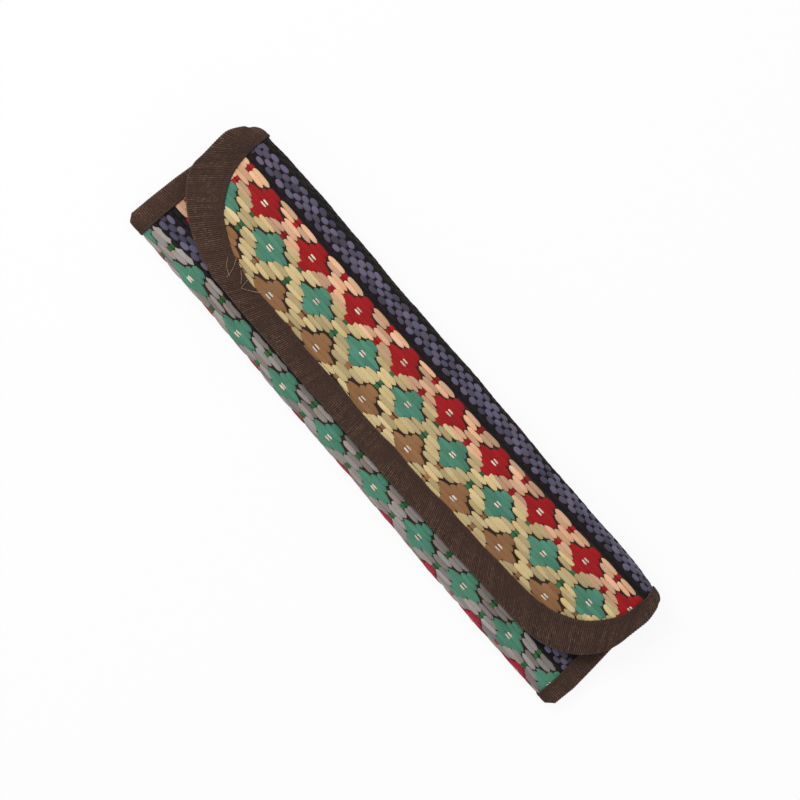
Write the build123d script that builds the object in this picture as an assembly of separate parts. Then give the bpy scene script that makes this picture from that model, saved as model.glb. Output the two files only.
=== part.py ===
from build123d import *
from math import cos, radians, sin
import os

# Soft folding case for a pair of santoor mallets: a padded woven cloth folded into a long pocket,
# with a flap that wraps over the spine and closes on hook-and-loop strips. Its raw edges are bound with tape.
# X runs along the case, +Y points to the spine, and +Z is up. The back lies on Z = 0.

# Closed size
length = 270.0
depth = 66.0
pocket_height = 12.0
flap_gap = 1.6

# Layers of every wall, from the outside in
cover_thickness = 1.0
padding_thickness = 1.4
lining_thickness = 0.4

# Binding tape
tape_thickness = 0.5
tape_width = 11.5
mouth_tape_width = 7.0
mouth_tape_thickness = 0.4
pressed_share = 0.7

# Sewn ends of the pocket, where front and back come together
seam_height = 6.0
taper_length = 20.0
mouth_tape_stop_share = 0.75

# Plan of the pocket and the flap, as distances from the middle of the case
mouth_y = 14.0
flap_edge_y = -22.0
flap_corner_radius = 33.0
spine_corner_radius = 9.0
fold_corner_radius = 3.0

# Creases at the spine
crease_radius = 5.5
crease_gap = 0.1

# Hook-and-loop strips
strip_length = 55.0
strip_width = 16.0
strip_x = 62.0
strip_y = -1.5
loop_thickness = 0.5
hook_thickness = 0.4
strip_corner = 2.0

# Stitches
stitch_length = 2.4
stitch_width = 0.6
stitch_height = 0.3
stitch_pitch = 3.4
stitch_from_tape_edge = 2.0
spine_stitch_from_tape_edge = 1.0
strip_stitch_height = 0.2
strip_stitch_inset = 1.6

# Worked out from the above
half_length = length / 2
half_depth = depth / 2
wall = cover_thickness + padding_thickness + lining_thickness
cover_inside = cover_thickness
padding_inside = cover_thickness + padding_thickness
total_height = pocket_height + flap_gap + wall
tape_inner_x = half_length - tape_width
taper_start_x = tape_inner_x - taper_length
fold_radius = pocket_height / 2
seam_radius = seam_height / 2
# Under the tape the cover is pressed thinner, and the padding gives way
pressed_cover_inside = tape_thickness + pressed_share * cover_thickness
crease_y = half_depth - crease_radius
low_crease_z = crease_radius
high_crease_z = total_height - crease_radius
half_right_angle = 45.0
crease_sin = sin(radians(half_right_angle))
big = 4 * depth


def end_plane(x):
    """Plane across the case at x, with local axes along Y and Z."""
    return Plane.YZ.offset(x)


def face_of(edges, x):
    """Flat face across the case at x, inside a closed run of edges."""
    return end_plane(x) * make_face(Curve() + edges)


def arc_point(y, z, radius, angle):
    """Point of a circle, with the angle in degrees from +Y towards +Z."""
    return (y + radius * cos(radians(angle)), z + radius * sin(radians(angle)))


def crease_arc(z, radius, start, turn):
    """Arc about one of the two creases of the spine."""
    return CenterArc((crease_y, z), radius, start, turn)


def pocket_face(x, radius, outside, inside):
    """Section of one layer of the pocket: mouth, front, bottom fold, back and the first half of the low crease."""
    fold_y = -half_depth + radius
    top = 2 * radius
    outer = radius - outside
    inner = radius - inside
    edges = [
        crease_arc(low_crease_z, crease_radius - outside, -half_right_angle, -half_right_angle),
        Line((crease_y, outside), (fold_y, outside)),
        CenterArc((fold_y, radius), outer, -90, -180),
        Line((fold_y, top - outside), (mouth_y, top - outside)),
        Line((mouth_y, top - outside), (mouth_y, top - inside)),
        Line((mouth_y, top - inside), (fold_y, top - inside)),
        CenterArc((fold_y, radius), inner, 90, 180),
        Line((fold_y, inside), (crease_y, inside)),
        crease_arc(low_crease_z, crease_radius - inside, -90, half_right_angle),
        Line(
            arc_point(crease_y, low_crease_z, crease_radius - inside, -half_right_angle),
            arc_point(crease_y, low_crease_z, crease_radius - outside, -half_right_angle),
        ),
    ]
    return face_of(edges, x)


def spine_face(x, outside, inside):
    """Section of one layer of the spine, from crease to crease."""
    outer = crease_radius - outside
    inner = crease_radius - inside
    low_out = arc_point(crease_y, low_crease_z, outer, -half_right_angle)
    low_in = arc_point(crease_y, low_crease_z, inner, -half_right_angle)
    high_out = arc_point(crease_y, high_crease_z, outer, half_right_angle)
    high_in = arc_point(crease_y, high_crease_z, inner, half_right_angle)
    edges = [
        crease_arc(low_crease_z, outer, -half_right_angle, half_right_angle),
        Line((crease_y + outer, low_crease_z), (crease_y + outer, high_crease_z)),
        crease_arc(high_crease_z, outer, 0, half_right_angle),
        Line(high_out, high_in),
        crease_arc(high_crease_z, inner, half_right_angle, -half_right_angle),
        Line((crease_y + inner, high_crease_z), (crease_y + inner, low_crease_z)),
        crease_arc(low_crease_z, inner, 0, -half_right_angle),
        Line(low_in, low_out),
    ]
    return face_of(edges, x)


def flap_face(x, outside, inside):
    """Section of one layer of the flap, from the high crease to well past its free edge."""
    outer = crease_radius - outside
    inner = crease_radius - inside
    past_edge = flap_edge_y - tape_width
    high_out = arc_point(crease_y, high_crease_z, outer, half_right_angle)
    high_in = arc_point(crease_y, high_crease_z, inner, half_right_angle)
    edges = [
        crease_arc(high_crease_z, outer, half_right_angle, half_right_angle),
        Line((crease_y, total_height - outside), (past_edge, total_height - outside)),
        Line((past_edge, total_height - outside), (past_edge, total_height - inside)),
        Line((past_edge, total_height - inside), (crease_y, total_height - inside)),
        crease_arc(high_crease_z, inner, 90, -half_right_angle),
        Line(high_in, high_out),
    ]
    return face_of(edges, x)


def along(face, run):
    """Prism from a section face, run millimetres towards +X."""
    return extrude(face, amount=run, dir=(1, 0, 0))


def both_ends(solid):
    """A solid and its mirror image at the other end of the case."""
    return solid + mirror(solid, Plane.YZ)


def pocket_layer(outside, inside):
    """One layer of the pocket between the end bindings, with its height tapering towards the sewn ends."""
    middle = along(pocket_face(-taper_start_x, fold_radius, outside, inside), 2 * taper_start_x)
    taper = loft(
        [
            pocket_face(taper_start_x, fold_radius, outside, inside),
            pocket_face(tape_inner_x, seam_radius, outside, inside),
        ],
        ruled=True,
    )
    return middle + both_ends(taper)


def pocket_end_layer(outside, inside):
    """One layer of the pocket under the end bindings."""
    run = half_length - tape_thickness - tape_inner_x
    right = along(pocket_face(tape_inner_x, seam_radius, outside, inside), run)
    return both_ends(right & case_plan(tape_thickness))


def plan_prism(x_reach, y_low, y_high, low_radius, high_radius):
    """Upright prism over a rectangle symmetric in X, with its own corner radius at each long side."""
    outline = FilletPolyline(
        (x_reach, y_low),
        (x_reach, y_high),
        (-x_reach, y_high),
        (-x_reach, y_low),
        radius=[low_radius, high_radius, high_radius, low_radius],
        close=True,
    )
    return Pos(0, 0, -big) * extrude(make_face(outline), amount=2 * big)


def case_plan(inset):
    """Plan of the closed case, drawn in from its edge all round."""
    return plan_prism(
        half_length - inset,
        -half_depth + inset,
        half_depth - inset,
        fold_corner_radius - inset,
        spine_corner_radius - inset,
    )


def flap_plan(inset):
    """Plan of the flap, drawn in from its edge all round."""
    return plan_prism(
        half_length - inset,
        flap_edge_y + inset,
        half_depth - inset,
        flap_corner_radius - inset,
        spine_corner_radius - inset,
    )


def flap_field():
    """Plan of the flap inside its binding. It has no binding along the spine."""
    return plan_prism(
        tape_inner_x,
        flap_edge_y + tape_width,
        half_depth + tape_width,
        flap_corner_radius - tape_width,
        tape_thickness,
    )


def crease_trim(z, angle):
    """Thin plate along a crease's parting plane, which leaves room on one side of it."""
    reach = 2 * crease_radius
    plate = Box(length + tape_width, reach, crease_gap)
    return Pos(0, crease_y, z) * Rot(angle, 0, 0) * Pos(0, reach / 2, 0) * plate


def pocket_cover():
    """Woven cloth of the pocket."""
    return pocket_layer(0, cover_inside) + pocket_end_layer(tape_thickness, pressed_cover_inside)


def pocket_padding():
    """Foam sheet of the pocket."""
    return pocket_layer(cover_inside, padding_inside) + pocket_end_layer(pressed_cover_inside, padding_inside)


def pocket_lining():
    """Lining cloth of the pocket."""
    return pocket_layer(padding_inside, wall) + pocket_end_layer(padding_inside, wall)


def sewn_end_face(x, outside, y_end):
    """Section of the two walls of the pocket where they're sewn together, drawn in from the outside."""
    fold_y = -half_depth + seam_radius
    top = seam_height - outside
    radius = seam_radius - outside
    edges = [
        CenterArc((fold_y, seam_radius), radius, -90, -180),
        Line((fold_y, top), (y_end, top)),
        Line((y_end, top), (y_end, outside)),
        Line((y_end, outside), (fold_y, outside)),
    ]
    return face_of(edges, x)


def single_wall_face(x, outside, inside):
    """Section of the back wall alone, from the sewn walls to the first half of the low crease."""
    y_start = -half_depth + fold_radius
    edges = [
        crease_arc(low_crease_z, crease_radius - outside, -half_right_angle, -half_right_angle),
        Line((crease_y, outside), (y_start, outside)),
        Line((y_start, outside), (y_start, inside)),
        Line((y_start, inside), (crease_y, inside)),
        crease_arc(low_crease_z, crease_radius - inside, -90, half_right_angle),
        Line(
            arc_point(crease_y, low_crease_z, crease_radius - inside, -half_right_angle),
            arc_point(crease_y, low_crease_z, crease_radius - outside, -half_right_angle),
        ),
    ]
    return face_of(edges, x)


def end_binding(side):
    """Tape folded over the sewn end of the pocket and on over the back wall."""
    outer = along(sewn_end_face(tape_inner_x, 0, mouth_y + tape_thickness), tape_width)
    outer += along(single_wall_face(tape_inner_x, 0, wall + tape_thickness), tape_width)
    core = along(sewn_end_face(tape_inner_x, tape_thickness, mouth_y), tape_width)
    core += along(single_wall_face(tape_inner_x, tape_thickness, wall), tape_width)
    tape = (outer & case_plan(0)) - (core & case_plan(tape_thickness))
    return tape if side > 0 else mirror(tape, Plane.YZ)


def mouth_section(x, top):
    """Section of the tape folded over the pocket's mouth. top is the outside of the front wall."""
    y_tape = mouth_y + mouth_tape_thickness - mouth_tape_width
    y_out = mouth_y + mouth_tape_thickness
    high = top + mouth_tape_thickness
    low = top - wall - mouth_tape_thickness
    points = [
        (y_tape, top),
        (y_tape, high),
        (y_out, high),
        (y_out, low),
        (y_tape, low),
        (y_tape, top - wall),
        (mouth_y, top - wall),
        (mouth_y, top),
    ]
    return end_plane(x) * make_face(Polyline(*points, close=True))


def mouth_binding():
    """Tape over the top edge of the pocket's front, from one end binding to the other."""
    # It stops where the narrowing front leaves no room for it above the back
    stop_x = taper_start_x + mouth_tape_stop_share * taper_length
    stop_top = pocket_height + mouth_tape_stop_share * (seam_height - pocket_height)
    middle = along(mouth_section(-taper_start_x, pocket_height), 2 * taper_start_x)
    taper = loft([mouth_section(taper_start_x, pocket_height), mouth_section(stop_x, stop_top)], ruled=True)
    return middle + both_ends(taper)


def spine_layer(outside, inside, pressed_outside, pressed_inside):
    """One layer of the spine: full between the bindings and pressed under them."""
    middle = along(spine_face(-tape_inner_x, outside, inside), 2 * tape_inner_x)
    run = half_length - tape_inner_x
    ends = both_ends(along(spine_face(tape_inner_x, pressed_outside, pressed_inside), run))
    return middle + (ends & case_plan(tape_thickness))


def spine_binding(side):
    """Tape folded over one end of the spine."""
    outer = along(spine_face(tape_inner_x, 0, wall + tape_thickness), tape_width) & case_plan(0)
    core = along(spine_face(tape_inner_x, tape_thickness, wall), tape_width) & case_plan(tape_thickness)
    tape = outer - core
    return tape if side > 0 else mirror(tape, Plane.YZ)


def flap_prism(outside, inside):
    """One layer of the flap before it is cut to its plan."""
    return along(flap_face(-half_length, outside, inside), length)


def flap_layer(outside, inside, pressed_outside, pressed_inside):
    """One layer of the flap: full inside its binding and pressed under it."""
    middle = flap_prism(outside, inside) & flap_field()
    rim = (flap_prism(pressed_outside, pressed_inside) & flap_plan(tape_thickness)) - flap_field()
    return middle + rim


def flap_binding():
    """One length of tape folded over the flap's two ends, round corners and free edge."""
    outer = (flap_prism(0, wall + tape_thickness) & flap_plan(0)) - flap_field()
    core = flap_prism(tape_thickness, wall) & flap_plan(tape_thickness)
    return outer - core


def with_creases(solid, low=False, high=False):
    """A solid cut back from the parting planes of the creases it meets."""
    if low:
        solid = solid - crease_trim(low_crease_z, -half_right_angle)
    if high:
        solid = solid - crease_trim(high_crease_z, half_right_angle)
    return solid


def strip(side, z, thickness):
    """One rectangular hook or loop strip, with its underside at z."""
    plan = RectangleRounded(strip_length, strip_width, strip_corner)
    return Pos(side * strip_x, strip_y, z) * extrude(plan, amount=thickness)


def stitch_row(path, normal, height=stitch_height):
    """Stitches spaced evenly along a path. normal gives the way out of the cloth from the path's direction."""
    count = max(1, round(path.length / stitch_pitch))
    one = extrude(SlotOverall(stitch_length, stitch_width), amount=height)
    row = []
    for i in range(count):
        share = (i + 0.5) / count
        tangent = path % share
        row.append(Plane(origin=path @ share, x_dir=tangent, z_dir=normal(tangent)) * one)
    return row


def upward(tangent):
    """The way out of a level cloth."""
    return Vector(0, 0, 1)


def downward(tangent):
    """The way out of the underside of a level cloth."""
    return Vector(0, 0, -1)


def outward(tangent):
    """The way out of the upright spine."""
    return Vector(0, 1, 0)


def end_stitches(side):
    """Stitches along the inner edge of one end binding, on the pocket's front and on the open back wall."""
    x = side * (tape_inner_x + stitch_from_tape_edge)
    front = Line((x, -half_depth + seam_radius, seam_height), (x, mouth_y, seam_height))
    z_back = wall + tape_thickness
    back = Line((x, mouth_y + stitch_from_tape_edge, z_back), (x, crease_y, z_back))
    return Compound(children=stitch_row(front, upward) + stitch_row(back, upward))


def spine_stitches(side):
    """Stitches along the inner edge of one spine binding."""
    x = side * (tape_inner_x + spine_stitch_from_tape_edge)
    row = Line((x, half_depth, low_crease_z), (x, half_depth, high_crease_z))
    return Compound(children=stitch_row(row, outward))


def flap_stitches():
    """Stitches along the inner edge of the flap's binding."""
    from_edge = tape_width - stitch_from_tape_edge
    x = half_length - from_edge
    y_low = flap_edge_y + from_edge
    z = total_height
    path = FilletPolyline(
        (-x, crease_y, z),
        (-x, y_low, z),
        (x, y_low, z),
        (x, crease_y, z),
        radius=flap_corner_radius - from_edge,
    )
    return Compound(children=stitch_row(path, upward))


def mouth_stitches():
    """Stitches along the tape of the pocket's mouth."""
    y = mouth_y + mouth_tape_thickness - mouth_tape_width + stitch_from_tape_edge
    z = pocket_height + mouth_tape_thickness
    return Compound(children=stitch_row(Line((-taper_start_x, y, z), (taper_start_x, y, z)), upward))


def strip_stitches(z, normal):
    """Stitches round both strips of a pair, with the cloth's way out given by normal."""
    x_reach = strip_length / 2 - strip_stitch_inset
    y_reach = strip_width / 2 - strip_stitch_inset
    row = []
    for side in (-1, 1):
        x = side * strip_x
        for y in (strip_y - y_reach, strip_y + y_reach):
            long_row = Line((x - x_reach + stitch_length, y, z), (x + x_reach - stitch_length, y, z))
            row += stitch_row(long_row, normal, strip_stitch_height)
        for x_end in (x - x_reach, x + x_reach):
            short_row = Line((x_end, strip_y - y_reach, z), (x_end, strip_y + y_reach, z))
            row += stitch_row(short_row, normal, strip_stitch_height)
    return Compound(children=row)


os.makedirs("parts", exist_ok=True)

hook_z = total_height - wall - hook_thickness

parts = {
    # Pocket
    "pocket_cover": with_creases(pocket_cover(), low=True),
    "pocket_padding": with_creases(pocket_padding(), low=True),
    "pocket_lining": with_creases(pocket_lining(), low=True),
    "left_end_binding": with_creases(end_binding(-1), low=True),
    "right_end_binding": with_creases(end_binding(1), low=True),
    "mouth_binding": mouth_binding(),
    "left_loop_strip": strip(-1, pocket_height, loop_thickness),
    "right_loop_strip": strip(1, pocket_height, loop_thickness),
    "left_end_stitches": end_stitches(-1),
    "right_end_stitches": end_stitches(1),
    "mouth_stitches": mouth_stitches(),
    "loop_strip_stitches": strip_stitches(pocket_height + loop_thickness, upward),
    # Spine
    "spine_cover": with_creases(
        spine_layer(0, cover_inside, tape_thickness, pressed_cover_inside), low=True, high=True
    ),
    "spine_padding": with_creases(
        spine_layer(cover_inside, padding_inside, pressed_cover_inside, padding_inside), low=True, high=True
    ),
    "spine_lining": with_creases(spine_layer(padding_inside, wall, padding_inside, wall), low=True, high=True),
    "left_spine_binding": with_creases(spine_binding(-1), low=True, high=True),
    "right_spine_binding": with_creases(spine_binding(1), low=True, high=True),
    "left_spine_stitches": spine_stitches(-1),
    "right_spine_stitches": spine_stitches(1),
    # Flap
    "flap_cover": with_creases(flap_layer(0, cover_inside, tape_thickness, pressed_cover_inside), high=True),
    "flap_padding": with_creases(
        flap_layer(cover_inside, padding_inside, pressed_cover_inside, padding_inside), high=True
    ),
    "flap_lining": with_creases(flap_layer(padding_inside, wall, padding_inside, wall), high=True),
    "flap_binding": with_creases(flap_binding(), high=True),
    "flap_stitches": flap_stitches(),
    "left_hook_strip": strip(-1, hook_z, hook_thickness),
    "right_hook_strip": strip(1, hook_z, hook_thickness),
    "hook_strip_stitches": strip_stitches(hook_z, downward),
}

for name, shape in parts.items():
    export_step(shape, f"parts/{name}.step")
    print(name, len(shape.solids()), round(shape.volume, 1))
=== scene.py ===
# Padded woven case for santoor mallets, closed, lying on its back and seen from straight above.
# The cloth is laid out flat, in millimetres: s runs across it, from the flap's free edge over the spine, down
# the back, round the bottom fold and up the front to the mouth, and x runs along the case. clothPlace folds
# it into the case, so weave, tape, lining and thread all share one shape.
import math
import random
from functools import partial

import bpy
import numpy as np
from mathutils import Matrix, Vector


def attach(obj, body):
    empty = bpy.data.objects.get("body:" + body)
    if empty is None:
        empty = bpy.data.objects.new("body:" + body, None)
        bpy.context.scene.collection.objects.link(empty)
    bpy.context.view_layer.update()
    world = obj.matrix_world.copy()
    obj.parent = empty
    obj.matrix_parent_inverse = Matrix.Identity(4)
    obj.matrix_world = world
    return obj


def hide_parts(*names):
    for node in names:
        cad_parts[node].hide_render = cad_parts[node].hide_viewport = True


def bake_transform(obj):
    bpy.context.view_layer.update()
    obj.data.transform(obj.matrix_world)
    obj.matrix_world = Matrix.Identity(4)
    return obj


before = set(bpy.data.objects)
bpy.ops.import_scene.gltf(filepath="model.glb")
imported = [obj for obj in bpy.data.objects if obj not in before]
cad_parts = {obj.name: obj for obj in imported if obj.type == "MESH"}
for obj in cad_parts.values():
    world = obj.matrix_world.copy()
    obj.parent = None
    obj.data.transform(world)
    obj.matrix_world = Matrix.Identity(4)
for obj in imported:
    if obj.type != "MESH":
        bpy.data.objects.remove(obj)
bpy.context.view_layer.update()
print("frame loaded")

mm = 0.001
sideOf = {"left": -1, "right": 1}
dice = random.Random(17)
noise = np.random.default_rng(17)

case = {
    "spineY": 33.0, "foldY": -33.7, "flapTop": 16.4, "flapEdgeY": -22.0, "mouthY": 14.0, "wall": 2.8,
    "creaseRadius": 5.5, "foldRadius": 6.0, "endFoldRadius": 3.0,
    "pinchX": (94.0, 127.0),  # |x| over which the pocket narrows
    "leftCorner": (135.2, 13.0),  # reach and roundness of the spine's ends, seen from above
    "rightCorner": (134.0, 9.0),
    "cornerShare": 0.85, "cornerFromY": 28.0,  # how much of that is drawn, short of doubling back
    "bulge": 0.5,  # the tape stands proud of the spine at its left end
    "bulgeRise": (-119.5, -122.5), "bulgeFall": (-131.0, -126.0), "bulgeFromY": 27.0,
    "cornerLift": 1.0,  # how far the right bottom corner is drawn up
    "liftX": (104.0, 135.0), "liftY": (4.0, -33.0),
    "leftDroop": 0.9, "rightDroop": 2.6,  # how far the flap's free corners hang down
    "droopX": (88.0, 134.0), "droopS": 4.0,
    "spineDrop": 1.0,  # how much lower the spine is at its ends
    "dropX": (95.0, 134.0),
    "wave": 0.22, "ripple": 0.1,  # hand-made unevenness
}

creaseY = case["spineY"] - case["creaseRadius"]
flapEdgeY = case["flapEdgeY"]
arcRun = case["creaseRadius"] * math.pi / 2
spineRun = case["flapTop"] - 2 * case["creaseRadius"]
backRun = creaseY - case["foldY"] - case["foldRadius"]
foldRun = case["foldRadius"] * math.pi
frontRun = case["mouthY"] - case["foldY"] - case["foldRadius"]
highArcAt = creaseY - flapEdgeY
spineAt = highArcAt + arcRun
lowArcAt = spineAt + spineRun
backAt = lowArcAt + arcRun
foldAt = backAt + backRun
frontAt = foldAt + foldRun
mouthAt = frontAt + frontRun
midSpine = spineAt + spineRun / 2


def smooth(low, high, value):
    t = np.clip((value - low) / (high - low), 0, 1)
    return t * t * (3 - 2 * t)


def clothPlace(s, x, h):
    # Folds a spot of the flat cloth, h above its outside, into the case. Answers in metres.
    s, x, h = (np.array(v, float) for v in np.broadcast_arrays(s, x, h))
    reach = np.abs(x)
    r = case["foldRadius"] + (case["endFoldRadius"] - case["foldRadius"]) * smooth(*case["pinchX"], reach)
    top = case["flapTop"] - case["spineDrop"] * smooth(*case["dropX"], reach)
    q = case["creaseRadius"]
    turns = [(s - highArcAt) / q, (s - lowArcAt) / q, (s - foldAt) / case["foldRadius"]]
    sinHigh, sinLow, sinFold = (np.sin(turn) for turn in turns)
    cosHigh, cosLow, cosFold = (np.cos(turn) for turn in turns)
    downSpine = (s - spineAt) / spineRun
    alongBack = (s - backAt) / backRun
    upFront = (s - frontAt) / frontRun
    foldLine = case["foldY"] + r
    one = np.ones_like(s)
    zero = np.zeros_like(s)
    # Each stretch of the cloth: up to where it goes, its Y and Z, and the way its outside faces
    stretches = [
        (s < highArcAt, flapEdgeY + s, top, zero, one),
        (s < spineAt, creaseY + q * sinHigh, top - q + q * cosHigh, sinHigh, cosHigh),
        (s < lowArcAt, creaseY + q * one, (top - q) * (1 - downSpine) + q * downSpine, one, zero),
        (s < backAt, creaseY + q * cosLow, q - q * sinLow, cosLow, -sinLow),
        (s < foldAt, creaseY + (foldLine - creaseY) * alongBack, zero, zero, -one),
        (s < frontAt, foldLine - r * sinFold, r - r * cosFold, -sinFold, -cosFold),
        (one > 0, foldLine * (1 - upFront) + case["mouthY"] * upFront, 2 * r, zero, one),
    ]
    tests = [row[0] for row in stretches]
    y, z, sideY, sideZ = (np.select(tests, [row[i] for row in stretches]) for i in range(1, 5))
    y = y + sideY * h
    z = z + sideZ * h
    # The spine's two ends are rounded in plan
    for name, side in sideOf.items():
        end, radius = case[name + "Corner"]
        t = np.clip((side * x - (end - radius)) / radius, 0, case["cornerShare"])
        drawnIn = radius * (1 - np.sqrt(1 - t * t))
        y = y - drawnIn * smooth(case["cornerFromY"], case["spineY"], y)
    bulge = case["bulge"] * smooth(*case["bulgeRise"], x) * smooth(*case["bulgeFall"], x)
    y = y + bulge * smooth(case["bulgeFromY"], case["spineY"], y)
    # The flap's corners hang, and the pocket's right bottom corner is drawn up a little
    droop = case["leftDroop"] * smooth(*case["droopX"], -x) + case["rightDroop"] * smooth(*case["droopX"], x)
    z = z - np.where(s < spineAt, droop * smooth(highArcAt + case["droopS"], case["droopS"], s), 0)
    onPocket = (s > backAt).astype(float)
    y = y + onPocket * case["cornerLift"] * smooth(*case["liftX"], x) * smooth(*case["liftY"], y)
    wave, ripple = case["wave"], case["ripple"]
    y = y + wave * np.sin(x / 15.0 + 0.7) * smooth(20, 33, np.abs(y)) + ripple * np.sin(x / 5.1)
    z = z + wave * np.sin(x / 21.0 + y / 19.0) * (s < highArcAt) * smooth(130, 110, reach)
    return np.stack([x, y, z], -1) * mm


# Outlines on the flat cloth, with distances along X counted from the middle of the case.
# Each corner is a rounded quarter: its length along X, its length along Y, and how square it is
flapOutline = {
    "leftX": 133.8, "leftXAtSpine": 134.9, "rightX": 132.8, "rightXAtSpine": 133.3,
    "leftCut": 5.2, "rightCut": 2.8,  # how far the ends are drawn in at the middle of the spine
    "leftEdgeY": -22.8, "rightEdgeY": -20.1, "edgeBow": 1.0,
    "leftCorner": (46.0, 27.0, 1.75), "rightCorner": (38.0, 30.0, 2.1),
}
flapField = {
    "leftX": 121.7, "leftXAtSpine": 121.7, "rightX": 124.9, "rightXAtSpine": 124.9,
    "leftCut": 0.0, "rightCut": 0.0,
    "leftEdgeY": -11.9, "rightEdgeY": -8.4, "edgeBow": 1.6,
    "leftCorner": (40.0, 34.0, 1.9), "rightCorner": (40.0, 31.0, 2.1),
}
edgeHalf = 88.0  # half the length of the free edge between its corners
cutS = (42.0, 56.0)  # stretch of the flat cloth over which an end is drawn in
evenRun = 20.0  # how far from the spine the outline's points are evenly spaced
spineBlend = 16.0  # stretch over which an end goes from its corner's reach to the spine's
tapeSteps = {"end": 60, "corner": 160, "edge": 200}


def edgeLine(shape, x):
    # Y of the free edge at x
    share = np.clip((x + edgeHalf) / (2 * edgeHalf), 0, 1)
    sag = shape["edgeBow"] * 4 * share * (1 - share)
    return shape["leftEdgeY"] + (shape["rightEdgeY"] - shape["leftEdgeY"]) * share - sag


def cornerOf(shape, name, grow=0.0):
    # A corner's length along X and along Y, its squareness, the reach of its end and Y of the edge beside it
    a, b, power = shape[name + "Corner"]
    return a + grow / 2, b + grow / 2, power, shape[name + "X"] + grow, shape[name + "EdgeY"] - grow


def cornerPoints(shape, name, share):
    # A rounded corner of the flap, from its end (share 0) to its free edge (share 1)
    a, b, power, endX, edgeY = cornerOf(shape, name)
    turn = share * math.pi / 2
    return endX - a + a * np.cos(turn) ** (2 / power), edgeY + b - b * np.sin(turn) ** (2 / power)


def middles(count):
    return (np.arange(count) + 0.5) / count


def outlinePoints(shape):
    # (s, x) from the middle of the spine down the left end, along the free edge and up the right end
    ends = []
    for name, side in sideOf.items():
        cornerX, cornerY = cornerPoints(shape, name, middles(tapeSteps["corner"]))
        startX, startY = cornerPoints(shape, name, 0.0)
        startS = startY - flapEdgeY
        run = midSpine - startS
        even = np.arange(tapeSteps["end"]) / tapeSteps["end"]
        firstShare = evenRun / run
        down = midSpine - run * (firstShare * even + (1 - firstShare) * even ** 3)
        endX = startX + (shape[name + "XAtSpine"] - startX) * smooth(startS, startS + spineBlend, down)
        endX = endX - shape[name + "Cut"] * smooth(*cutS, down)
        xs = side * np.concatenate([endX, cornerX])
        ss = np.concatenate([down, cornerY - flapEdgeY])
        ends.append(np.stack([ss, xs], -1))
    left, right = ends
    edgeX = left[-1, 1] + (right[-1, 1] - left[-1, 1]) * middles(tapeSteps["edge"])
    edge = np.stack([edgeLine(shape, edgeX) - flapEdgeY, edgeX], -1)
    return np.concatenate([left, edge, right[::-1]])


def fieldReach(s, x):
    # How far a spot of the flap lies inside its binding
    y = s + flapEdgeY
    reach = np.minimum(x + flapField["leftX"], flapField["rightX"] - x)
    reach = np.minimum(reach, y - edgeLine(flapField, x))
    for name, side in sideOf.items():
        a, b, power, endX, edgeY = cornerOf(flapField, name)
        across = np.maximum(side * x - (endX - a), 0) / a
        down = np.maximum(edgeY + b - y, 0) / b
        q = (across ** power + down ** power) ** (1 / power)
        inCorner = (across > 0) & (down > 0)
        reach = np.where(inCorner, np.minimum(reach, (1 - q) * min(a, b)), reach)
    return reach


# Reach of the edges of the pocket's end tapes at given Y
endTape = {
    "left": {
        "outer": [
            (33, 134.9), (22, 134.3), (8, 133.5), (-8, 134.8), (-22, 135.3), (-31, 135.4), (-33.7, 134.0),
        ],
        "inner": [(33, 125.9), (-33, 125.9)],
    },
    "right": {
        "outer": [
            (33, 133.3), (22, 132.9), (6, 132.6), (-9, 134.2), (-20, 135.2), (-30, 134.9), (-33, 132.6),
        ],
        "inner": [(-10, 125.8), (-22, 127.2), (-33, 127.3)],
    },
}
backReach = 124.0  # reach of the inner edges on the back
endRunS = np.linspace(-4, mouthAt + 4, 1200)
for name, edges in endTape.items():
    endY = clothPlace(endRunS, sideOf[name] * backReach, 0)[..., 1] / mm
    for edge in ("outer", "inner"):
        ys, reaches = zip(*sorted(edges[edge]))
        edges[edge + "Reach"] = np.interp(endY, ys, reaches)


def endEdge(name, edge, s):
    # Reach of one edge of an end tape
    reach = np.interp(s, endRunS, endTape[name][edge + "Reach"])
    if edge == "inner":
        return reach + (backReach - reach) * smooth(foldAt + foldRun * 0.6, foldAt, s)
    return reach - flapOutline[name + "Cut"] * smooth(*cutS, 2 * midSpine - s)


def pocketReach(s, x):
    # How far a spot of the pocket lies inside its end tapes
    return np.minimum(x + endEdge("left", "inner", s), endEdge("right", "inner", s) - x)


# Mesh helpers. A shape is its points, its faces and its thread layout.


def link(obj):
    bpy.context.scene.collection.objects.link(obj)
    return obj


def meshPiece(name, shape, materials, slots=None, shades=None):
    points, faces, uvs = shape
    mesh = bpy.data.meshes.new(name)
    mesh.vertices.add(len(points))
    mesh.vertices.foreach_set("co", points.astype(np.float32).ravel())
    mesh.loops.add(faces.size)
    mesh.loops.foreach_set("vertex_index", faces.astype(np.int32).ravel())
    mesh.polygons.add(len(faces))
    mesh.polygons.foreach_set("loop_start", np.arange(0, faces.size, faces.shape[1], dtype=np.int32))
    if slots is not None:
        mesh.polygons.foreach_set("material_index", slots.astype(np.int32))
    mesh.update(calc_edges=True)
    mesh.validate()
    mesh.polygons.foreach_set("use_smooth", np.ones(len(mesh.polygons), bool))
    layer = mesh.uv_layers.new(name="thread")
    layer.data.foreach_set("uv", uvs[faces.ravel()].astype(np.float32).ravel())
    if shades is not None:
        attribute = mesh.attributes.new("shade", "FLOAT", "POINT")
        attribute.data.foreach_set("value", shades.astype(np.float32))
    for material in materials:
        mesh.materials.append(material)
    print(name, len(faces), "faces")
    return link(bpy.data.objects.new(name, mesh))


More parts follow.
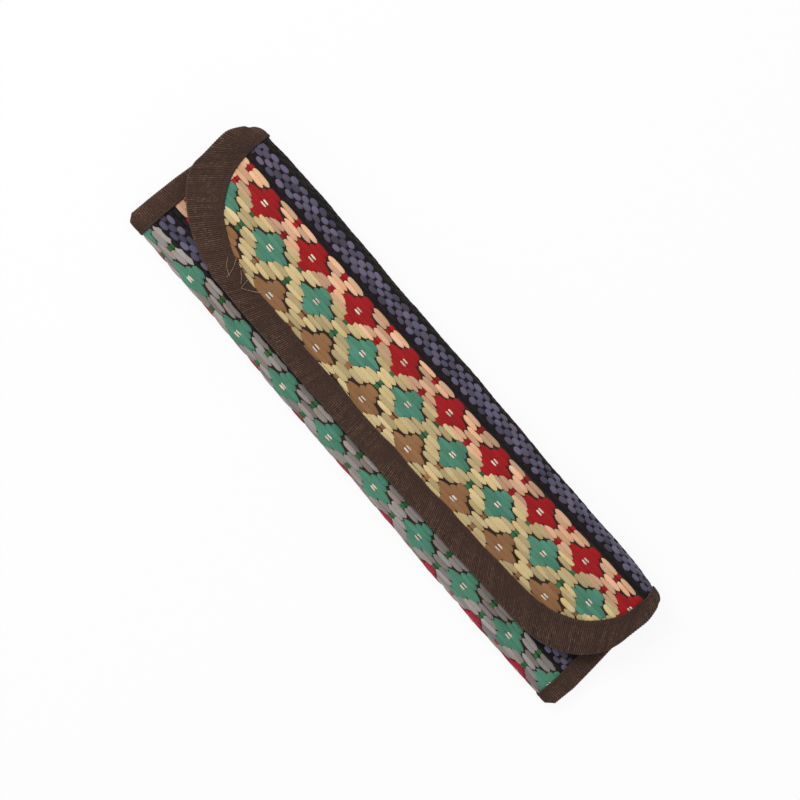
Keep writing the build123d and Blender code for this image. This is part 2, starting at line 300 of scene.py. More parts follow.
def gridFaces(rows, columns, closed=False):
    # Quads of a grid of points stored row by row. closed joins the last column to the first.
    row = np.arange(rows - 1)[:, None] * columns
    column = np.arange(columns if closed else columns - 1)
    after = (column + 1) % columns
    corners = [row + column, row + after, row + columns + after, row + columns + column]
    return np.stack(np.broadcast_arrays(*corners), -1).reshape(-1, 4)


def layout(u, v):
    return np.stack(np.broadcast_arrays(u, v), -1).reshape(-1, 2).astype(float)


def joined(shapes):
    points, faces, uvs = zip(*shapes)
    starts = np.cumsum([0] + [len(some) for some in points])
    moved = [some + start for some, start in zip(faces, starts)]
    return np.concatenate(points), np.concatenate(moved), np.concatenate(uvs)


def lengthAlong(points):
    # Distance along a row of points, from the first to each
    return np.concatenate([[0], np.cumsum(np.linalg.norm(np.diff(points, axis=0), axis=1))])


# Node helpers


def feed(tree, node, inputs):
    # Gives each socket its value, or a link from the output that stands for it
    for label, value in inputs.items():
        if isinstance(value, bpy.types.NodeSocket):
            tree.links.new(value, node.inputs[label])
        else:
            node.inputs[label].default_value = value


def addNode(tree, kind, inputs=None, **values):
    node = tree.nodes.new("ShaderNode" + kind)
    for key, value in values.items():
        setattr(node, key, value)
    feed(tree, node, inputs or {})
    return node


def maths(tree, operation, *values):
    return addNode(tree, "Math", dict(enumerate(values)), operation=operation).outputs[0]


def ranged(tree, value, low, high, toLow=0.0, toHigh=1.0):
    inputs = {"Value": value, "From Min": low, "From Max": high, "To Min": toLow, "To Max": toHigh}
    return addNode(tree, "MapRange", inputs).outputs[0]


def speckle(tree, place, scale, detail, roughness=0.5):
    inputs = {"Vector": place, "Scale": scale, "Detail": detail, "Roughness": roughness}
    return addNode(tree, "TexNoise", inputs).outputs["Fac"]


def mixColours(tree, share, first, second):
    inputs = {"Factor": share, "A": first, "B": second}
    return addNode(tree, "Mix", inputs, data_type="RGBA").outputs["Result"]


def newGroup(name, inputs):
    # Every shared effect gives a colour, a height and a roughness, laid out along the thread
    group = bpy.data.node_groups.new(name, "ShaderNodeTree")
    outputs = {"Colour": "Color", "Height": "Float", "Roughness": "Float"}
    for direction, sockets in (("INPUT", inputs), ("OUTPUT", outputs)):
        for label, kind in sockets.items():
            group.interface.new_socket(label, in_out=direction, socket_type="NodeSocket" + kind)
    inside = group.nodes.new("NodeGroupInput").outputs
    uv = addNode(group, "UVMap", uv_map="thread").outputs["UV"]
    return group, inside, group.nodes.new("NodeGroupOutput"), uv


# Shared effects

yarnLook = {
    "slant": 24.0,  # degrees of the strands to the float
    "strandScale": 0.563636,
    "strandHeight": 0.55,
    "hairs": (0.7, 3.2, 1),
    "relief": (0.3, 1.15),  # lowest and highest of the surface
    # painted shade: scale of the colour at the lowest and highest of the surface
    "shading": (0.72, 1.12),
    "roughness": (0.85, 0.58),
    "cool": (1.0, 1.03, 1.06, 1),
    "warm": (1.0, 0.93, 0.84, 1),
}
tapeLook = {
    "ribPitch": 0.85,
    "threadPitch": 0.75,
    "threadShift": 3.0,  # how far the threads of one rib lie from those of the next
    "ribShadePatches": (0.35, 0.6, 0.25, 1.0),  # the ribs' painted shade and the pale flecks show more in random patches
    "ribShadeTowardsFold": (2.0, 9.0, 0.4, 1.0),  # and more towards the folded edge
    "plain": 0.42,  # tone where the ribs' painted shade does not show
    "roughness": (0.95, 0.7),
}


def twistGroup():
    # Fine slanted strands of a spun yarn, with loose hairs and uneven dye
    group, inside, outside, uv = newGroup("yarnTwist", {"Dye": "Color", "Unevenness": "Float"})
    calc = partial(maths, group)
    slant = addNode(group, "Mapping", {"Vector": uv, "Rotation": (0, 0, math.radians(yarnLook["slant"]))})
    waves = {"Vector": slant.outputs[0], "Scale": yarnLook["strandScale"], "Distortion": 1.2, "Detail": 1.5}
    strand = addNode(group, "TexWave", waves, bands_direction="Y").outputs["Fac"]
    drawnOut = addNode(group, "Mapping", {"Vector": uv, "Scale": yarnLook["hairs"]}).outputs[0]
    hair = speckle(group, drawnOut, 1.6, 4.0)
    height = calc("MULTIPLY_ADD", strand, yarnLook["strandHeight"], hair)
    # Each float has its own random shade of dye, and painted shade darkens it where the surface lies low,
    # between its strands
    shade = addNode(group, "Attribute", attribute_name="shade").outputs["Fac"]
    own = calc("MULTIPLY_ADD", shade, inside["Unevenness"], 1.0)
    grooveShadedTone = calc("MULTIPLY", ranged(group, height, *yarnLook["relief"], *yarnLook["shading"]), own)
    # The dye is warmer in places
    fade = ranged(group, speckle(group, uv, 0.16, 3.0), 0.42, 0.62)
    warmth = mixColours(group, fade, yarnLook["cool"], yarnLook["warm"])
    warmed = addNode(group, "VectorMath", {0: inside["Dye"], 1: warmth}, operation="MULTIPLY").outputs[0]
    feed(group, outside, {
        "Colour": addNode(group, "VectorMath", {0: warmed, "Scale": grooveShadedTone}, operation="SCALE").outputs[0],
        "Height": height,
        "Roughness": ranged(group, height, *yarnLook["relief"], *yarnLook["roughness"]),
    })
    return group


def plainWeaveGroup():
    # Tiny over-and-under weave of the ground, lining and thread
    group, inside, outside, uv = newGroup("plainWeave", {"Dark": "Color", "Light": "Color", "Pitch": "Float"})
    calc = partial(maths, group)
    split = addNode(group, "SeparateXYZ", {0: uv}).outputs
    waves = []
    for axis in ("X", "Y"):
        turns = calc("DIVIDE", split[axis], inside["Pitch"])
        waves.append(calc("SINE", calc("MULTIPLY", turns, math.pi)))
    check = calc("MULTIPLY", *waves)
    height = calc("MULTIPLY_ADD", check, 0.35, speckle(group, uv, 1.3, 5.0, 0.65))
    # Colour: random blotches and speckle, plus painted shade that darkens it where the weave lies low
    blotchesAndWeaveShade = calc("MULTIPLY_ADD", height, 0.75, speckle(group, uv, 0.09, 2.0))
    colour = mixColours(group, ranged(group, blotchesAndWeaveShade, 0.45, 1.45), inside["Dark"], inside["Light"])
    feed(group, outside, {"Colour": colour, "Height": height, "Roughness": 0.85})
    return group


def ribGroup():
    # Ribbed tape: ribs across it, each a little different, with pale flecks of thread, and painted shade
    # darker between the ribs and between their threads
    sockets = {"Dark": "Color", "Middle": "Color", "Pale": "Color", "Flecks": "Float"}
    group, inside, outside, uv = newGroup("ribbedTape", sockets)
    calc = partial(maths, group)
    split = addNode(group, "SeparateXYZ", {0: uv}).outputs

    def crestOf(value):
        return calc("SINE", calc("MULTIPLY", calc("FRACT", value), math.pi))

    ribs = calc("DIVIDE", split["X"], tapeLook["ribPitch"])
    rib = calc("FLOOR", ribs)
    crest = crestOf(ribs)
    ribRandom = addNode(group, "TexWhiteNoise", {"W": rib}, noise_dimensions="1D").outputs["Value"]
    across = calc("MULTIPLY_ADD", ribRandom, tapeLook["threadShift"], split["Y"])
    threads = calc("DIVIDE", across, tapeLook["threadPitch"])
    threadCrest = crestOf(threads)
    spot = addNode(group, "CombineXYZ", {0: rib, 1: calc("FLOOR", threads)}).outputs[0]
    spotRandom = addNode(group, "TexWhiteNoise", {"Vector": spot}, noise_dimensions="2D").outputs["Value"]
    ribShadePatches = ranged(group, speckle(group, uv, 0.11, 2.0), *tapeLook["ribShadePatches"])
    ribShadeAndFleckStrength = calc("MULTIPLY", ribShadePatches, ranged(group, split["Y"], *tapeLook["ribShadeTowardsFold"]))
    # Painted shade: body darkens between ribs and between threads, and each rib also has its own random tone
    body = calc("MULTIPLY", crest, calc("MULTIPLY_ADD", ribRandom, 0.7, 0.5))
    body = calc("MULTIPLY", body, calc("MULTIPLY_ADD", threadCrest, 0.3, 0.75))
    overPlain = calc("SUBTRACT", body, tapeLook["plain"])
    body = calc("MULTIPLY_ADD", ribShadeAndFleckStrength, overPlain, tapeLook["plain"])
    fleck = calc("MULTIPLY", ranged(group, spotRandom, 0.6, 1.0), crest)
    fleck = calc("MULTIPLY", calc("MULTIPLY", fleck, inside["Flecks"]), ribShadeAndFleckStrength)
    ground = mixColours(group, body, inside["Dark"], inside["Middle"])
    height = calc("MULTIPLY_ADD", threadCrest, 0.35, calc("MULTIPLY", crest, 0.8))
    feed(group, outside, {
        "Colour": mixColours(group, fleck, ground, inside["Pale"]),
        "Height": calc("MULTIPLY_ADD", speckle(group, uv, 4.0, 4.0), 0.5, height),
        "Roughness": ranged(group, crest, 0.0, 1.0, *tapeLook["roughness"]),
    })
    return group


yarnTwist = twistGroup()
plainWeave = plainWeaveGroup()
ribbedTape = ribGroup()


# Materials


def linear(*seen):
    # A colour written as it is seen, from 0 to 255, turned into light
    shares = [value / 255 for value in seen]
    return (*(v / 12.92 if v < 0.0404 else ((v + 0.055) / 1.055) ** 2.4 for v in shares), 1)


def baseMaterial(name):
    material = bpy.data.materials.new(name)
    material.use_nodes = True
    shader = material.node_tree.nodes["Principled BSDF"]
    shader.inputs["Specular IOR Level"].default_value = 0.25
    return material, material.node_tree, shader


def effectMaterial(name, effect, inputs, sheen, bump, bumpHeight):
    material, tree, shader = baseMaterial(name)
    look = addNode(tree, "Group", inputs, node_tree=effect)
    relief = {"Height": look.outputs["Height"], "Strength": bump, "Distance": bumpHeight * mm}
    feed(tree, shader, {
        "Base Color": look.outputs["Colour"],
        "Roughness": look.outputs["Roughness"],
        "Sheen Weight": sheen,
        "Normal": addNode(tree, "Bump", relief).outputs[0],
    })
    return material


def clothMaterial(name, dark, light, pitch, bump=0.7, sheen=0.2):
    inputs = {"Dark": linear(*dark), "Light": linear(*light), "Pitch": pitch}
    return effectMaterial(name, plainWeave, inputs, sheen, bump, 0.1)


# Dye of each yarn, how unevenly it took, and how far it shines at the edges
dyes = {
    "cream": ((226, 180, 144), 0.3, 0.12),
    "yellowCream": ((210, 188, 138), 0.3, 0.12),
    "pale": ((232, 214, 196), 0.25, 0.15),
    "red": ((164, 12, 20), 0.3, 0.1),
    "teal": ((80, 140, 116), 0.4, 0.12),
    "camel": ((150, 108, 70), 0.3, 0.12),
    "lavender": ((92, 86, 108), 0.5, 0.12),
    "black": ((21, 13, 12), 0.4, 0.03),
    "greyPink": ((154, 146, 142), 0.35, 0.15),
    "crimson": ((170, 18, 56), 0.35, 0.12),
    "green": ((50, 104, 62), 0.3, 0.12),
}
dyeNames = list(dyes)
yarnMaterials = []
for name, (dye, unevenness, sheen) in dyes.items():
    inputs = {"Dye": linear(*dye), "Unevenness": unevenness}
    yarnMaterials.append(effectMaterial("yarn_" + name, yarnTwist, inputs, sheen, 0.8, 0.12))
groundCloth = clothMaterial("groundCloth", (20, 12, 10), (72, 50, 37), 0.6, sheen=0.05)
stripeGround = clothMaterial("stripeGround", (12, 8, 13), (32, 24, 33), 0.6, sheen=0.03)
tapeTones = {"Dark": linear(36, 22, 15), "Middle": linear(94, 66, 52), "Pale": linear(150, 124, 106)}
tapeCloth = effectMaterial("tapeCloth", ribbedTape, {**tapeTones, "Flecks": 0.32}, 0.08, 1.0, 0.2)
liningCloth = clothMaterial("liningCloth", (40, 28, 22), (66, 50, 40), 0.5)
threadMaterial = clothMaterial("sewingThread", (34, 22, 17), (70, 51, 41), 0.3)
print("materials made")


# Weave: rows of flowers and stripes, given by the middle of each at x = 0

weave = {
    "flowerPitch": 28.2,
    "bow": 0.0001,  # the rows curve up towards both ends
    "stripeSlope": 0.026, "stripeLane": 1.8, "stripePitch": 5.6,
    "lavenderLength": 4.3, "blackLength": 5.1, "floatHeight": 0.74,
    "sink": 0.72,  # how far the ground cloth lies below the floats' crests
    "petalLean": 0.75,  # the two middle rows of a flower draw together towards its points
    "dashLane": 0.3,  # the two dashes lie closer together than their lanes
    "hidden": -1.6,  # a float is cut where it lies this deep under the binding
    "shift": 0.15,  # how far a float strays from its lane, and how much its size and tilt vary
    "widthSpread": 0.16, "tallSpread": (0.86, 1.12), "tiltSpread": 0.35,
}
flowerRows = [
    # middle, climb along the case, lane pitch, x of one flower, the ground's shift and lane pitch,
    # then the dyes of flower, ground and accent
    (2.3, 0.03, 2.0, 0.5, 0.9, 1.93, "teal", "yellowCream", "green"),
    (14.1, 0.03, 2.14, 14.4, 1.35, 2.04, "camel", "yellowCream", "camel"),
    (26.5, 0.0235, 2.0, 0.3, 0.7, 2.0, "teal", "yellowCream", "green"),
    (37.1, 0.0235, 2.05, 14.2, 0.9, 1.85, "red", "cream", "red"),
    (67.8, 0.0235, 2.0, 27.5, 0.9, 1.93, "teal", "greyPink", "green"),
    (79.5, 0.0235, 2.0, 13.4, 0.9, 1.93, "crimson", "greyPink", "crimson"),
    (109.9, 0.0235, 2.0, 3.4, 0.9, 1.93, "camel", "greyPink", "camel"),
    (121.7, 0.0235, 2.0, 17.4, 0.9, 1.93, "teal", "greyPink", "green"),
    (133.7, 0.0235, 2.0, 2.4, 0.9, 1.93, "crimson", "greyPink", "crimson"),
    (144.8, 0.0235, 2.0, 17.4, 0.9, 1.93, "teal", "greyPink", "green"),
    (166.8, 0.0235, 2.0, 2.0, 0.9, 1.9, "red", "cream", "cream"),
    (178.4, 0.0235, 2.0, 16.0, 0.9, 1.9, "teal", "yellowCream", "green"),
]
stripes = [
    # middle, lanes of lavender, black lanes before and after
    (50.1, 4, 1, 5),
    (95.0, 5, 3, 3),
    (155.4, 3, 1, 2),
]
# From and to on each lane, as shares of the flowers' spacing counted from a flower's middle
besideAccent = [("ground", 0.112, 0.476), ("accent", 0.446, 0.554), ("ground", 0.524, 0.888)]
laneFloats = {
    2.5: [("flower", -0.12, 0.12), *besideAccent],
    1.5: [("flower", -0.18, 0.18), ("ground", 0.168, 0.476), besideAccent[1], ("ground", 0.524, 0.832)],
    0.5: [
        ("flower", -0.345, 0.045), ("dash", -0.066, 0.066), ("flower", -0.045, 0.345),
        ("ground", 0.326, 0.674),
    ],
}
floatForms = {
    # shares of the lane's width and of the usual height, play of the ends, unevenness of form and of shade
    "flower": (1.36, 0.95, 0.15, 0.5, 0.4),
    "ground": (1.2, 1.0, 0.3, 1.0, 1.0),
    "accent": (0.95, 0.6, 0.3, 1.0, 1.0),
    "dash": (0.44, 1.4, 0.12, 0.5, 1.0),
    "lavender": (1.32, 0.85, 0.35, 1.0, 1.0),
    "black": (1.02, 1.0, 0.5, 1.0, 1.0),
}


def stretch(x):
    # The cloth is stretched unevenly along the case
    return x + np.where(x < 0, 3.0e-6 * x ** 3, -0.0165 * x)


def rowLine(at, climb, x):
    # s at x of a row that passes through at in the middle of the case
    return at + climb * x + weave["bow"] * x ** 2


def flowerFloats():
    # Part, dye, s at x = 0, climb, from x, to x, spacing, lean, and which end is pointed, as in stripeFloats
    pitch = weave["flowerPitch"]
    for middle, climb, lanePitch, phase, groundShift, groundPitch, *rowDyes in flowerRows:
        colours = dict(zip(("flower", "ground", "accent"), rowDyes), dash="pale")
        for lane in (-2.5, -1.5, -0.5, 0.5, 1.5, 2.5):
            half = math.copysign(1, lane)
            onLane = (middle + lane * lanePitch, lanePitch)
            onDash = (middle + half * weave["dashLane"] * lanePitch, lanePitch)
            onGround = (middle + groundShift + lane * groundPitch, groundPitch)
            places = {"flower": onLane, "dash": onDash, "ground": onGround, "accent": onGround}
            for turn in range(-6, 7):
                flowerX = phase + turn * pitch
                for part, start, end in laneFloats[abs(lane)]:
                    at, spacing = places[part]
                    tip = math.copysign(1, start + end) if part == "flower" and abs(lane) < 1 else 0
                    lean = -weave["petalLean"] * tip * half
                    startX, endX = flowerX + start * pitch, flowerX + end * pitch
                    yield part, colours[part], at, climb, startX, endX, spacing, lean, tip


def stripeFloats():
    spacing = weave["stripeLane"]
    for middle, lanes, before, after in stripes:
        for lane in range(-before, lanes + after):
            at = middle + (lane - (lanes - 1) / 2) * spacing
            part = "black" if lane < 0 or lane >= lanes else "lavender"
            half = weave[part + "Length"] / 2
            for turn in range(-26, 27):
                centre = (turn + 0.5 * (lane % 2)) * weave["stripePitch"]
                yield part, part, at, weave["stripeSlope"], centre - half, centre + half, spacing, 0, 0


def weaveFloats(low, high, reachOf):
    # Each float between two s: s at x = 0, climb, from x, to x, width, height, tilt, pointed end, dye, shade
    kept = []
    for part, dye, at, climb, start, end, spacing, lean, tip in [*flowerFloats(), *stripeFloats()]:
        width, tall, play, uneven, shadeSpread = floatForms[part]
        start = stretch(start) + dice.uniform(-play, play)
        end = stretch(end) + dice.uniform(-play, play)
        at += dice.uniform(-weave["shift"], weave["shift"]) * uneven
        width *= spacing * (1 + dice.uniform(-weave["widthSpread"], weave["widthSpread"]) * uneven)
        tall *= dice.uniform(*weave["tallSpread"])
        tilt = lean + dice.uniform(-weave["tiltSpread"], weave["tiltSpread"]) * uneven
        shade = dice.uniform(-1, 1) * shadeSpread
        if not low <= rowLine(at, climb, (start + end) / 2) <= high:
            continue
        places = np.linspace(start, end, 41)
        clear = np.flatnonzero(reachOf(rowLine(at, climb, places), places) > weave["hidden"])
        if len(clear) < 5:
            continue
        first, last = places[clear[[0, -1]]]
        kept.append((at, climb, first, last, width, tall, tilt, tip, dyeNames.index(dye), shade))
    return kept


def pressed(reach):
    # The cloth is sewn down at the binding and stands full a little way in
    return 0.3 + 0.7 * smooth(-0.6, 2.6, reach)


def puff(reach):
    return 0.75 * smooth(0, 13, reach)


floatForm = {
    "rings": 9, "across": 7,
    "pointed": 1.7, "blunt": 3.6,  # powers of the outline at its two kinds of end
    "narrowest": 0.14,
    "groove": 0.2,  # a float is two yarns side by side
    "sunk": 0.06,
}


def yarnShape(kept, reachOf, puffed):
    rings, across = floatForm["rings"], floatForm["across"]
    columns = (column[:, None, None] for column in np.array(kept).T)
    at, climb, start, end, width, tall, tilt, tip, dye, shade = columns
    t = np.linspace(0, 1, rings)[None, :, None]
    turn = np.linspace(0, math.pi, across)[None, None, :]
    power = np.where(tip * (2 * t - 1) > 0, floatForm["pointed"], floatForm["blunt"])
    taper = np.maximum((1 - np.abs(2 * t - 1) ** power) ** 0.6, floatForm["narrowest"])
    lift = (1 - np.abs(2 * t - 1) ** floatForm["blunt"]) ** 0.8
    groove = 1 - floatForm["groove"] * np.exp(-(((turn - math.pi / 2) / 0.35) ** 2))
    x = start + (end - start) * t + 0 * turn
    side = -np.cos(turn) * width / 2 * taper
    middle = rowLine(at, climb, x) + tilt * (t - 0.5)
    reach = reachOf(middle, x)
    height = np.sin(turn) * groove * lift * tall * weave["floatHeight"]
    base = -weave["sink"] - floatForm["sunk"] + puffed * puff(reach)
    h = base + height * pressed(reach) - 0.25 * smooth(0.5, -1.5, reach)
    points = clothPlace(middle + side, x, h).reshape(-1, 3)
    per = rings * across
    faces = np.concatenate([gridFaces(rings, across) + i * per for i in range(len(kept))])
    slots = np.repeat(dye.ravel().astype(int), (rings - 1) * (across - 1))
    return (points, faces, layout(x, side + at * 7.3)), slots, np.repeat(shade.ravel(), per)


def clothColumns(low, high):
    return np.linspace(low, high, int(round((high - low) / 1.5)) + 1)


def flapLow(x, grow):
    # Lowest s of the flap's cloth at x, grow millimetres outside the field that shows
    low = edgeLine(flapField, x) - grow
    for name, side in sideOf.items():
        a, b, power, endX, edgeY = cornerOf(flapField, name, grow)
        across = np.clip((side * x - (endX - a)) / a, 0, 1)
        corner = edgeY + b - b * (1 - across ** power) ** (1 / power)
        low = np.where(across > 0, np.maximum(low, corner), low)
    return low - flapEdgeY


def sheetGrid(xs, lows, highs, rows, heightOf):
    # A cloth whose lowest and highest s may change along x
    share = np.linspace(0, 1, rows)[None, :]
    s = lows[:, None] + (highs - lows)[:, None] * share
    x = np.broadcast_to(xs[:, None], s.shape)
    return clothPlace(s, x, heightOf(s, x)).reshape(-1, 3), gridFaces(len(xs), rows), layout(x, s)


def wovenPiece(name, low, high, reachOf, grid, puffed):
    def groundHeight(s, x):
        reach = reachOf(s, x)
        return -weave["sink"] + puffed * puff(reach) - 0.5 * smooth(0, -3, reach)

    ground = sheetGrid(*grid, groundHeight)
    x, s = ground[2][ground[1]].mean(axis=1).T
    inStripe = np.zeros(len(s), int)
    for middle, lanes, before, after in stripes:
        off = (s - rowLine(middle, weave["stripeSlope"], x)) / weave["stripeLane"]
        inStripe |= (off > -lanes / 2 - before - 0.6) & (off < lanes / 2 + after)
    yarns, dyeSlots, shades = yarnShape(weaveFloats(low, high, reachOf), reachOf, puffed)
    slots = np.concatenate([len(yarnMaterials) + inStripe, dyeSlots])
    shades = np.concatenate([np.zeros(len(ground[0])), shades])
    materials = yarnMaterials + [groundCloth, stripeGround]
    piece = meshPiece(name, joined([ground, yarns]), materials, slots, shades)
    return piece


flapXs = clothColumns(-flapField["leftX"] - 3.5, flapField["rightX"] + 3.5)
flapGrid = (flapXs, flapLow(flapXs, 3.6), np.full_like(flapXs, midSpine), 60)
flapCloth = wovenPiece("flapCloth", -2, midSpine, fieldReach, flapGrid, 1.0)
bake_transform(flapCloth)
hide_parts("flap_cover", "flap_padding", "spine_cover", "spine_padding")

splitAt = foldAt + foldRun * 0.5
pocketXs = clothColumns(-129.5, 128.8)


def pocketGrid(low, high, rows):
    return pocketXs, np.full_like(pocketXs, low), np.full_like(pocketXs, high), rows


backGrid = pocketGrid(midSpine, splitAt, 62)
pocketBackCloth = wovenPiece("pocketBackCloth", midSpine, splitAt, pocketReach, backGrid, 0.0)
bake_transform(pocketBackCloth)
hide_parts("pocket_cover", "pocket_padding")
frontGrid = pocketGrid(splitAt, mouthAt, 44)
pocketFrontCloth = wovenPiece("pocketFrontCloth", splitAt, mouthAt - 1, pocketReach, frontGrid, 0.0)
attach(pocketFrontCloth, "pocket")
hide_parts("pocket_cover", "pocket_padding")


# Binding tape, folded over an edge and swept along it

tape = {
    "ribHeight": 0.12, "perRib": 4, "pleatPitch": 2.1, "pleatHeight": 0.2, "wobble": 0.22,
    "mouthWidth": 7.0,
    "overEdge": 0.3,  # how far a tape reaches past the edge it binds
}
# From the edge that is sewn to the cloth outwards: share of the width, and height over the cloth's outside
tapeTop = [
    (0.0, -0.75), (-0.004, -0.15), (0.012, 0.17), (0.05, 0.24), (0.11, 0.16), (0.17, 0.02), (0.24, 0.1),
    (0.36, 0.2), (0.5, 0.24), (0.64, 0.22), (0.76, 0.17), (0.87, 0.07), (0.94, -0.13), (0.98, -0.52),
    (1.0, -1.3),
]
tapeUnder = [(share, -2.75 - height) for share, height in reversed(tapeTop[:-1])]
foldedTape = np.array(tapeTop + tapeUnder)
# The ends of the pocket: front and back sewn together as far as the mouth, then the back alone
sewnTape = np.array(tapeTop[:-3] + [(0.95, -0.5), (0.985, -1.0), (1.0, -1.7), (1.0, -2.4), (0.995, -3.0)])


def sweepTape(inner, outer, profile, pleats=0, closeAt=None):
    # inner and outer are matched runs of (s, x), and pleats says how strong the pleats are along them.
    # closeAt is a height down to which the last end is shut.
    along = lengthAlong((inner + outer) / 2)
    even = np.linspace(0, along[-1], int(along[-1] / tapeLook["ribPitch"] * tape["perRib"]) + 1)
    outerAlong = np.interp(even, along, lengthAlong(outer))
    amount = np.interp(even, along, pleats + np.zeros(len(along)))
    inner = np.stack([np.interp(even, along, inner[:, i]) for i in (0, 1)], -1)
    outer = np.stack([np.interp(even, along, outer[:, i]) for i in (0, 1)], -1)
    width = np.linalg.norm(outer - inner, axis=1)
    share, height = profile.T
    profileRun = np.stack([share * width.mean(), height], -1)
    # Outward direction of the profile, for the ribs
    step = np.gradient(profileRun, axis=0)
    step /= np.linalg.norm(step, axis=1)[:, None]
    drift = 0.3 * np.sin(even[:, None] / 7.3 + 2.5 * share) + 0.5 * np.sin(even[:, None] / 23) * share
    ribAt = even[:, None] + drift
    lift = -np.cos(2 * math.pi * ribAt / tapeLook["ribPitch"]) * tape["ribHeight"]
    lift[:, [0, -1]] = 0
    crease = np.abs(np.sin(math.pi * outerAlong / tape["pleatPitch"] + 0.5 * np.sin(outerAlong / 5)))
    onTop = smooth(0.3, 0.6, share) * (height > tapeTop[-1][1])
    lift = lift - tape["pleatHeight"] * (amount * (1 - crease) ** 2.2)[:, None] * onTop
    wobble = tape["wobble"] * (np.sin(even / 6.1) + 0.6 * np.sin(even / 2.7 + 1.0))
    across = share + (lift * -step[:, 1]) / width[:, None]
    across = across + (wobble / width)[:, None] * (share < 0.2)
    h = height + lift * step[:, 0]
    place = inner[:, None, :] + (outer - inner)[:, None, :] * across[..., None]
    if closeAt is not None:
        place = np.concatenate([place, place[-1:]])
        h = np.concatenate([h, np.full_like(h[-1:], closeAt)])
        ribAt = np.concatenate([ribAt, ribAt[-1:] + 1])
    points = clothPlace(place[..., 0], place[..., 1], h)
    return points.reshape(-1, 3), gridFaces(len(h), len(profile)), layout(ribAt, lengthAlong(profileRun))


def tapePiece(name, *sweeps):
    piece = meshPiece(name, joined(sweeps), [tapeCloth])
    return piece


outerPath = outlinePoints(flapOutline)
innerPath = outlinePoints(flapField)
endPleats = np.zeros(tapeSteps["end"])
cornerPleats = np.sin(np.linspace(0, math.pi, tapeSteps["corner"])) ** 0.5
flapPleats = np.concatenate([endPleats, cornerPleats, np.zeros(tapeSteps["edge"]), cornerPleats, endPleats])
flapTape = tapePiece("flapTape", sweepTape(innerPath, outerPath, foldedTape, flapPleats))
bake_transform(flapTape)
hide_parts("flap_binding", "left_spine_binding", "right_spine_binding")


def endRun(name, low, high):
    s = np.linspace(low, high, 200)
    return (np.stack([s, sideOf[name] * endEdge(name, edge, s)], -1) for edge in ("inner", "outer"))


endFoldLine = case["foldY"] + case["endFoldRadius"]
mouthOnBack = backAt + backRun * (creaseY - case["mouthY"]) / (creaseY - endFoldLine)
tapeEnd = mouthAt + tape["overEdge"]
for side in sideOf:
    sewn = sweepTape(*endRun(side, mouthOnBack, tapeEnd), sewnTape, closeAt=sewnTape[-1, 1])
    single = sweepTape(*endRun(side, midSpine, mouthOnBack + 1.5), foldedTape)
    piece = tapePiece(side + "EndTape", sewn, single)
    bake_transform(piece)
    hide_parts(side + "_end_binding", side + "_spine_binding")

mouthXs = np.linspace(-125.5, 125.5, 200)
mouthRuns = [layout(s, mouthXs) for s in (mouthAt - tape["mouthWidth"], tapeEnd)]
mouthTape = tapePiece("mouthTape", sweepTape(*mouthRuns, foldedTape))
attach(mouthTape, "pocket")
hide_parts("mouth_binding")


# Lining


def wrinkle(s, x):
    return -case["wall"] + 0.12 * np.sin(x / 6.3 + s / 9.0) * np.sin(s / 7.7 + 1.0)


def liningPiece(name, grid):
    points, faces, uvs = sheetGrid(*grid, wrinkle)
    piece = meshPiece(name, (points, faces[:, ::-1], uvs), [liningCloth])
    return piece


flapLining = liningPiece("flapLining", flapGrid)
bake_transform(flapLining)
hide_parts("flap_lining", "spine_lining")
pocketLining = liningPiece("pocketLining", pocketGrid(midSpine, mouthAt, 120))
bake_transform(pocketLining)
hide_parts("pocket_lining")


# Stitches

stitch = {
    "length": 2.5, "width": 0.42, "tall": 0.26, "pitch": 3.4,
    "arch": 0.8,  # rise of its middle, as a share of its height
    "sunk": 0.08,
    "rings": 7, "around": 8,
    "place": 0.17,  # share of the tape's width at which its row runs
    "over": 0.05,  # height of a row over the cloth
}


def threadTube(s, x, h, step, sideways, upward):
    # A thread laid along (s, x). sideways and upward are each ring's reach off its middle line.
    ringS = s[:, None] - step[:, 1:] * sideways
    ringX = x[:, None] + step[:, :1] * sideways
    points = clothPlace(ringS, ringX, h[:, None] + upward)
    return points.reshape(-1, 3), gridFaces(*ringS.shape, closed=True)


def stitchPiece(name, runs, height=stitch["over"], outward=1, tall=stitch["tall"]):
    # Each run is a row of (s, x) at a height over the cloth. outward is 1 outside and -1 inside.
    shapes = []
    t = np.linspace(-1, 1, stitch["rings"])
    turn = np.linspace(0, 2 * math.pi, stitch["around"], endpoint=False)
    girth = np.sqrt(np.clip(1 - t ** 4, 0.02, 1))[:, None]
    sideways = np.cos(turn) * girth * stitch["width"] / 2
    arch = (1 - t ** 2)[:, None] * tall * stitch["arch"]
    upward = np.sin(turn) * girth * tall / 2 + arch - stitch["sunk"]
    for run in runs:
        along = lengthAlong(run)
        count = max(1, int(round(along[-1] / stitch["pitch"])))
        for i in range(count):
            at = np.clip((i + 0.5) * along[-1] / count + t / 2 * stitch["length"], 0, along[-1])
            s, x = (np.interp(at, along, run[:, k]) for k in (0, 1))
            step = np.gradient(np.stack([s, x], -1), axis=0)
            step /= np.linalg.norm(step, axis=1)[:, None] + 1e-9
            tube = threadTube(s, x, np.full_like(s, height), step, sideways, outward * upward)
            shapes.append((*tube, layout(at[:, None], turn * 0.2)))
    piece = meshPiece(name, joined(shapes), [threadMaterial])
    return piece


def between(inner, outer):
    return inner + (outer - inner) * stitch["place"]


